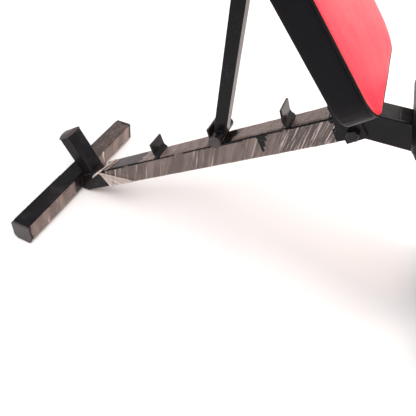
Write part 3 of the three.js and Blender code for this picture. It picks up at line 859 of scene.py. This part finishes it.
TEAR_FOOT = 0.006               # apex of the V tear, out from the spine's underside
REAR_PATCH = (0.045, 0.150)     # bare stretch of the top, ahead of the film's rear end
BAR_PATCH = (-0.024, 0.034)     # bare stretch of the top, round the crossbar
SIDE_PATCH = (-0.01, 0.045)     # bare upper edge of the near side, round the crossbar


def tear_edges(z):
    """Both edges of the V tear on the near side, along the spine, at a height z."""
    width = 0.0125 * (z - TEAR_FOOT) / tube
    middle = bar_at + 0.079 + 0.28 * (z - TEAR_FOOT)
    return middle - width, middle + width


def bare(p):
    """True where the film has been torn away. p is along, across and out from the underside."""
    x, y, z = p
    r = ragged(p)
    on_top, near_side = z > tube - 0.001, y < -half_tube + 0.001
    on_corner = y < -half_tube + 0.0008 and z > tube - 0.0036
    if on_corner and ragged((x, 7.0, 0.0), 1.0, 24.0) < 0.22:
        return True
    rear_edge = film_from + 0.008 + (0.20 * z if near_side else 0.012)
    if x < rear_edge + r:
        return True
    if on_top:
        if film_from + REAR_PATCH[0] < x + 2.2 * r - 0.25 * y < film_from + REAR_PATCH[1]:
            return True
        if bar_at + BAR_PATCH[0] < x + r - 0.25 * y < bar_at + BAR_PATCH[1]:
            return True
        if any(abs(x - (bar_at + step * hook_step - 0.013)) < 0.008 for step in (-1, 0, 1)):
            return True
    if near_side:
        left, right = tear_edges(z)
        if left < x < right:
            return True
        if z > tube - 0.006 and bar_at + SIDE_PATCH[0] < x < bar_at + SIDE_PATCH[1] + r:
            return True
    return x > film_to - 0.004 + r * 0.7


shape = bmesh.from_edit_mesh(film.data)
cell = film_length / (FILM_RINGS + 1)
for v in shape.verts:       # points beside the V tear move onto its edges, so it is cut clean
    if v.co.y < -half_tube and TEAR_FOOT < v.co.z:
        for line in tear_edges(v.co.z):
            if abs(v.co.x - line) < cell * 0.5:
                v.co.x = line
bmesh.update_edit_mesh(film.data)
pick(film, "FACE", lambda m, d: bare((m.x, m.y, m.z)))
bpy.ops.mesh.delete(type="FACE")
only(film)

# %% Slanting ridges, where the wound film is doubled and pulled
def ridge(p, d):
    """Height of the film above the steel: fine pleats that lean along the spine."""
    round_way = p[2] if abs(d[1]) > abs(d[2]) else p[1]
    lean = p[0] - 0.45 * round_way * (1 if d[1] <= 0.5 else -1)
    front = min(1.0, max(0.0, (p[0] - (bar_at + 0.06)) / 0.08))
    pleat = noise.noise(Vector((lean * 210.0, round_way * 9.0, 1.7)))
    fold = noise.noise(Vector((lean * 60.0, round_way * 14.0, 6.1)))
    sharp = max(0.0, 1 - abs(pleat) * 3.2) ** 2
    return (0.25 + 0.75 * front) * 0.0011 * sharp * (0.4 + fold) + 0.0004 * max(0.0, fold)


def normals_of(piece):
    return np.array([v.normal for v in piece.data.vertices])


def as_film(piece, its_finish):
    """Gives a bare surface the film's thickness and finish."""
    applied(piece, "SOLIDIFY", thickness=FILM_THICK, offset=1.0)
    piece.data.materials.append(its_finish)
    return smoothed(piece, 70)


set_points(film, [p + d * max(0.0, ridge(p, d)) for p, d in zip(points_of(film), normals_of(film))])
as_film(film, film_finish)
placed(film, spine_frame)
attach(film, "frame")
print("film", len(film.data.polygons), "faces")

# %% [markdown]
# The rear foot was wrapped too. What is left covers its front on both sides of the spine, and on
# the far side its top as well. Each piece is a short open sleeve with ragged ends.

# %% Film on the rear foot
foot_low, foot_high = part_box("rear_foot_tube")
foot_x, foot_z = ((foot_low[i] + foot_high[i]) / 2 for i in (0, 2))


def foot_wrap(name, y_from, y_to, on_top):
    """What is left of the wrap between two places along the foot."""
    middle, long = (y_from + y_to) / 2, y_to - y_from
    wrap = sleeve(name, 1, long, (foot_x, middle, foot_z), 70, 9,
                  lambda facing: facing.z < -0.3 or (facing.z > 0.6 and not on_top))
    only(wrap)
    co = points_of(wrap)
    pull = [abs(p[1] - middle) / (long / 2) > 0.98 for p in co]
    moved = [p + d * 0.0004 * max(0.0, noise.noise(Vector((p[1] * 90, p[2] * 12, p[0] * 12))))
             + np.array((0, 0.005 * at_end * noise.noise(Vector((p[0] * 60, 3.0, p[2] * 60))), 0))
             for p, d, at_end in zip(co, normals_of(wrap), pull)]
    set_points(wrap, moved)
    as_film(wrap, foot_film_finish)
    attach(wrap, "frame")
    print(name, round(long * 1000), "mm long")
    return wrap


FOOT_END = 0.006
foot_wrap("foot_film_near", foot_low[1] + FOOT_END, -0.056, False)
foot_wrap("foot_film_far", 0.036, foot_high[1] - FOOT_END, True)

# %% [markdown]
# At the rear the film was twisted into a rope and pulled down across the near side of the spine,
# so it fans out in deep pleats from one point. The fan is a flat grid, split between its pleats
# and drawn together to that point.

# %% The fan of gathered film
def pleat_at(u):
    return math.sin(u * 44 + 2.2 * noise.noise(Vector((u * 5, 0.3, 0.7))))


def fan(name, apex, first, last, rays, steps, lift):
    """A pleated sheet from an apex to the line between two points, on the spine's near side."""
    only(None)
    bpy.ops.mesh.primitive_grid_add(x_subdivisions=rays, y_subdivisions=steps, size=1)
    piece = started(name)
    edit(piece)
    pick(piece, "FACE", lambda m, d: m.y > -0.3 and pleat_at(m.x + 0.5) < -0.45)
    bpy.ops.mesh.delete(type="FACE")        # it is split between the pleats
    only(piece)
    apex, first, last = Vector(apex), Vector(first), Vector(last)
    made = []
    for x, y, _ in points_of(piece):
        u, v = x + 0.5, y + 0.5
        far = 0.03 + 0.97 * v
        end = first.lerp(last, u)
        p = apex.lerp(end, far)
        pleat = pleat_at(u)
        deep = lift * (0.35 + 0.65 * far) * (0.55 + 0.45 * pleat)
        deep += 0.0008 * noise.noise(Vector((u * 22, v * 3, 2.0)))
        edge = 0.004 * noise.noise(Vector((u * 14, 0, 5.0))) * v
        made.append((p.x + edge, p.y - max(0.0003, deep), p.z + edge))
    set_points(piece, made)
    applied(piece, "SOLIDIFY", thickness=0.0003, offset=0.0)
    piece.data.materials.append(rope_finish)
    return smoothed(piece, 70)


near = -half_tube - 0.0012
start = film_from + 0.006
gather = fan("gathered_film", (start - 0.004, near - 0.001, tube - 0.001),
             (start + 0.004, near, 0.003), (start + 0.094, near, 0.001), 110, 26, 0.0026)
placed(gather, spine_frame)
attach(gather, "frame")

# %% Ropes of twisted film
def rope(name, points, radius, turns):
    """A twisted strand along a bent line of points: a thin cylinder, bent to the line in code."""
    only(None)
    bpy.ops.mesh.primitive_cylinder_add(vertices=12, radius=1, depth=1)
    piece = started(name)
    edit(piece)
    pick(piece, "EDGE", lambda m, d: abs(d.z) > 0.9)
    bpy.ops.mesh.subdivide(number_cuts=44)
    only(piece)
    line = [Vector(p) for p in points]
    made = []
    for x, y, z in points_of(piece):
        t = min(max(z + 0.5, 0.0), 1.0)
        k = t * (len(line) - 1)
        i = min(int(k), len(line) - 2)
        a, b = line[i], line[i + 1]
        before, after = line[max(i - 1, 0)], line[min(i + 2, len(line) - 1)]
        f = k - i
        middle = 0.5 * ((2 * a) + (b - before) * f + (2 * before - 5 * a + 4 * b - after) * f * f
                        + (3 * a - before - 3 * b + after) * f ** 3)
        ahead = (b - a).normalized()
        side = ahead.cross(Vector((0.3, 1, 0.2))).normalized()
        other = ahead.cross(side)
        angle = math.atan2(y, x) + turns * 2 * math.pi * t
        lobes = 0.72 + 0.28 * math.cos(3 * (angle - turns * 2 * math.pi * t) + turns * 9 * t)
        size = radius * lobes * (0.55 + 0.45 * math.sin(math.pi * min(1, t * 1.4 + 0.12)))
        size *= 1 + 0.35 * noise.noise(Vector((t * 9, radius * 900, 0)))
        hub = math.hypot(x, y)
        made.append(middle + (side * math.cos(angle) + other * math.sin(angle)) * size * hub)
    set_points(piece, made)
    piece.data.materials.append(rope_finish)
    edit(piece)
    bpy.ops.mesh.normals_make_consistent(inside=False)
    only(piece)
    return smoothed(piece, 70)


top = tube + 0.0012
# Each strand: thickness, turns, and its line, as along from the start, across, and out.
STRANDS = {
    "film_rope_near": (0.0032, 5, [
        (-0.034, near - 0.003, 0.040), (-0.020, near - 0.005, 0.046), (-0.004, near - 0.004, 0.050),
        (0.008, -0.018, top + 0.001), (0.022, 0.000, top + 0.003), (0.030, 0.020, top + 0.002)]),
    "film_rope_side": (0.0021, 7, [
        (-0.004, near - 0.003, 0.049), (0.020, near - 0.0038, 0.038),
        (0.056, near - 0.0035, 0.020), (0.096, near - 0.0025, 0.003)]),
    "film_rope_low": (0.0016, 5, [
        (-0.003, near - 0.003, 0.046), (0.006, near - 0.0034, 0.030),
        (0.018, near - 0.003, 0.014), (0.030, near - 0.0025, 0.003)]),
    "film_tail_top": (0.0024, 3, [
        (0.010, -0.006, top), (0.018, 0.000, top + 0.008),
        (0.026, 0.010, top + 0.013), (0.028, 0.020, top + 0.012)]),
}
strands = [rope(name, [(start + along, y, z) for along, y, z in line], radius, turns)
           for name, (radius, turns, line) in STRANDS.items()]
for piece in strands:
    placed(piece, spine_frame)
    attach(piece, "frame")
print("ropes", len(strands))

# %% [markdown]
# ## Weld beads
# Every joint of the frame is welded, and a weld shows as a row of overlapping ripples in the
# corner between two tubes. One bead is a thin cylinder cut into short lengths, thicker at every
# other cut, with closed round ends. It is modelled once for each length and laid along the joint.

# %% One bead between two points
def bead(name, start, end, radius=0.0026):
    start, end = Vector(start), Vector(end)
    run = (end - start).length
    ripples = max(4, round(run / 0.0036))
    only(None)
    bpy.ops.mesh.primitive_cylinder_add(vertices=8, radius=radius, depth=run)
    piece = started(name)
    edit(piece)
    pick(piece, "EDGE", lambda m, d: abs(d.z) > 0.9)
    bpy.ops.mesh.subdivide(number_cuts=2 * ripples - 1)
    only(piece)
    co = points_of(piece)
    wobble = np.array([noise.noise(Vector((z * 170, run * 40, 3.0))) for z in co[:, 2]])
    step = np.cos((co[:, 2] / run + 0.5) * ripples * 2 * np.pi)
    close = np.clip((run / 2 - np.abs(co[:, 2])) / (2 * radius), 0, 1)
    size = (0.86 - 0.14 * step + 0.12 * wobble) * (0.35 + 0.65 * np.sqrt(close))
    co[:, :2] *= size[:, None]
    set_points(piece, co)
    piece.data.materials.append(black_paint)
    turn = (end - start).to_track_quat("Z", "Y").to_matrix().to_4x4()
    placed(piece, Matrix.Translation((start + end) / 2) @ turn)
    return smoothed(piece, 60)


# %% One weld is one piece, with a bead on each of its lines
welds = []
reach = half_tube - 0.004       # half the length of a bead laid across a tube
side_y = half_tube + 0.0006     # where a bead lies beside a tube


def weld(name, body, *lines, radius=0.0026):
    piece = joined(name, [bead(f"bead_{i}", a, b, radius) for i, (a, b) in enumerate(lines)])
    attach(piece, body)
    welds.append(piece)


def mirrored(start, end):
    """One line on the near side of the bench and its twin on the far side."""
    return [tuple(Vector((p[0], s * p[1], p[2])) for p in (start, end)) for s in (-1, 1)]


def crosswise(x, z):
    """A line straight across the bench."""
    return (x, -reach, z), (x, reach, z)


# %% Beads of the main frame
def on_spine(x, y, z):
    return spine_frame @ Vector((x, y, z))


front_foot_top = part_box("front_foot_tube")[1].z
beam_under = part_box("seat_beam")[0].z
up_from_foot, beside_spine = foot_high.x + 0.0012, half_tube + 0.0008
weld("weld_spine_foot", "frame",
     *mirrored((up_from_foot, beside_spine, foot_low.z + 0.008),
               (up_from_foot, beside_spine, foot_high.z - 0.004)))


def mitre_corner(heaviest_z):
    """The rearmost corner of the seat beam at its top (-1000) or its underside (1000)."""
    corners = (v.co for v in frame["nodes"]["seat_beam"].data.vertices)
    return min(corners, key=lambda c: c.z * heaviest_z + c.x).copy()


mitre_low, mitre_high = mitre_corner(1000), mitre_corner(-1000)
weld("weld_spine_beam", "frame",
     *mirrored((mitre_low.x, side_y, mitre_low.z + 0.006),
               (mitre_high.x, side_y, mitre_high.z - 0.005)),
     crosswise(mitre_high.x, mitre_high.z + 0.0004),
     crosswise(mitre_low.x, mitre_low.z - 0.0004), radius=0.0020)

# %% Beads of the stop post and the hooks
post = [v.co for v in frame["nodes"]["stop_post"].data.vertices]
post_rear = min(along(p) for p in post)
post_front = max(along(p) for p in post)
weld("weld_stop_post", "frame",
     [on_spine(post_front + 0.0012, y, tube + 0.0006) for y in (-reach, reach)],
     *mirrored(on_spine(post_rear + 0.004, side_y, tube + 0.0002),
               on_spine(post_front - 0.004, side_y, tube + 0.0002)))
for label, step in (("rear", -1), ("middle", 0), ("front", 1)):
    foot = bar_at + step * hook_step - 0.0078
    weld(f"weld_hook_{label}", "frame",
         [on_spine(foot, y, tube + 0.0008) for y in (-0.022, 0.022)], radius=0.0021)

# %% Beads of the front leg and its gusset
leg = [v.co for v in frame["nodes"]["front_leg"].data.vertices]
leg_top = [p.x for p in leg if p.z > beam_under - 0.02]
leg_foot = [p.x for p in leg if p.z < front_foot_top + 0.02]
weld("weld_leg_beam", "frame",
     *mirrored((min(leg_top) + 0.005, side_y, beam_under - 0.0004),
               (max(leg_top) - 0.005, side_y, beam_under - 0.0004)),
     crosswise(max(leg_top) + 0.0008, beam_under - 0.0008))
weld("weld_leg_foot", "frame",
     *[crosswise(x, front_foot_top + 0.0008)
       for x in (min(leg_foot) - 0.0008, max(leg_foot) + 0.0008)])
gusset_low, gusset_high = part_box("leg_gusset")
weld("weld_gusset", "frame",
     *mirrored((gusset_low.x + 0.006, 0.0032, gusset_high.z - 0.0006),
               (gusset_high.x - 0.006, 0.0032, gusset_high.z - 0.0006)), radius=0.0018)

# %% Beads of the backrest's frame
def on_back(u, y, d):
    return hinge + up_back * u + across * y + out_back * d


hinge_up_back, hinge_out = hinge.dot(up_back), hinge.dot(out_back)
rail_back, rail_face = (v - hinge_out for v in span("backrest_rail_left", out_back))
rail_from = span("backrest_rail_left", up_back)[0] - hinge_up_back
cheek_face = span("hinge_cheek_left", out_back)[1] - hinge_out + 0.0004
cheek_inner = abs(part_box("hinge_cheek_left")[1].y)
lug_middle = sum(span("strut_lug_left", up_back)) / 2 - hinge_up_back
weld("weld_backrest", "backrest",
     *mirrored(*[on_back(rail_from + u, cheek_inner + 0.0002, cheek_face)
                 for u in (0.010, 0.066)]),
     *mirrored(*[on_back(lug_middle + u, cheek_inner + 0.0052, rail_back - 0.0002)
                 for u in (-0.016, 0.016)]), radius=0.0019)
rail_outer, rail_inner = (abs(corner.y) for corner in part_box("backrest_rail_left"))
for label in ("lower", "upper"):
    lower, upper = (v - hinge_up_back for v in span(f"backrest_{label}_plate", up_back))
    weld(f"weld_{label}_plate", "backrest",
         *[line for u in (lower - 0.0008, upper + 0.0008) for line in mirrored(
             on_back(u, rail_inner + 0.003, rail_face + 0.0004),
             on_back(u, rail_outer - 0.003, rail_face + 0.0004))], radius=0.0018)

# %% Beads of the strut
strut_up = (pivot - bar_middle).normalized()
strut_out = Vector((strut_up.z, 0, -strut_up.x))
strut_deep = span("strut_tube", strut_out)
half_deep = (strut_deep[1] - strut_deep[0]) / 2
strut_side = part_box("strut_tube")[1].y


def on_strut(u, y, d):
    return bar_middle + strut_up * u + strut_out * d + across * y


weld("weld_strut", "strut",
     *[[on_strut(0.0105, y, s * (half_deep - 0.002)) for y in (0.003 - strut_side,
                                                              strut_side - 0.003)]
       for s in (-1, 1)],
     *mirrored(*[on_strut(0.0120, strut_side + 0.0004, d) for d in (-0.008, 0.008)]),
     radius=0.0021)
print("welds", len(welds), sum(len(w.data.polygons) for w in welds), "faces")

# %% [markdown]
# ## Floor and light
# A plain pale floor, a broad soft lamp overhead, and a large warm panel low on the seat's side,
# which is what gives gloss black steel its brown sheen.

# %% Floor
only(None)
bpy.ops.mesh.primitive_plane_add(size=24, location=(0, 0, -0.0004))
floor = started("Floor")
floor_finish, n, shader, place = finish("Pale_floor", (0.88, 0.88, 0.88), 0.9)
n.set(shader, "Base Color", n.blend(n.noise(place, 1.2, 3.0), (0.86, 0.86, 0.86, 1),
                                    (0.90, 0.90, 0.90, 1)))
floor.data.materials.append(floor_finish)

# %% World and lamps
world = bpy.data.worlds.new("Studio")
bpy.context.scene.world = world
world.use_nodes = True
world.node_tree.nodes["Background"].inputs[0].default_value = (0.95, 0.96, 1.0, 1)
world.node_tree.nodes["Background"].inputs[1].default_value = 0.6


def lamp(name, place, target, size, power, colour):
    only(None)
    bpy.ops.object.light_add(type="AREA", location=place)
    made = bpy.context.object
    made.name = name
    made.rotation_euler = (Vector(target) - Vector(place)).to_track_quat("-Z", "Y").to_euler()
    made.data.shape = "RECTANGLE"
    made.data.size, made.data.size_y = size
    made.data.energy = power
    made.data.color = colour
    return made


lamp("Overhead", (0.3, -0.5, 3.2), (0, 0, 0.3), (2.8, 2.8), 125, (1.0, 0.99, 0.98))
lamp("Warm_panel", (2.5, 0.2, 1.0), (0, 0, 0.25), (1.4, 1.0), 55, (1.0, 0.70, 0.58))
lamp("Warm_far", (-0.4, 2.6, 0.85), (0, 0, 0.2), (3.2, 1.5), 20, (1.0, 0.80, 0.70))
bpy.context.scene.view_settings.view_transform = "Standard"
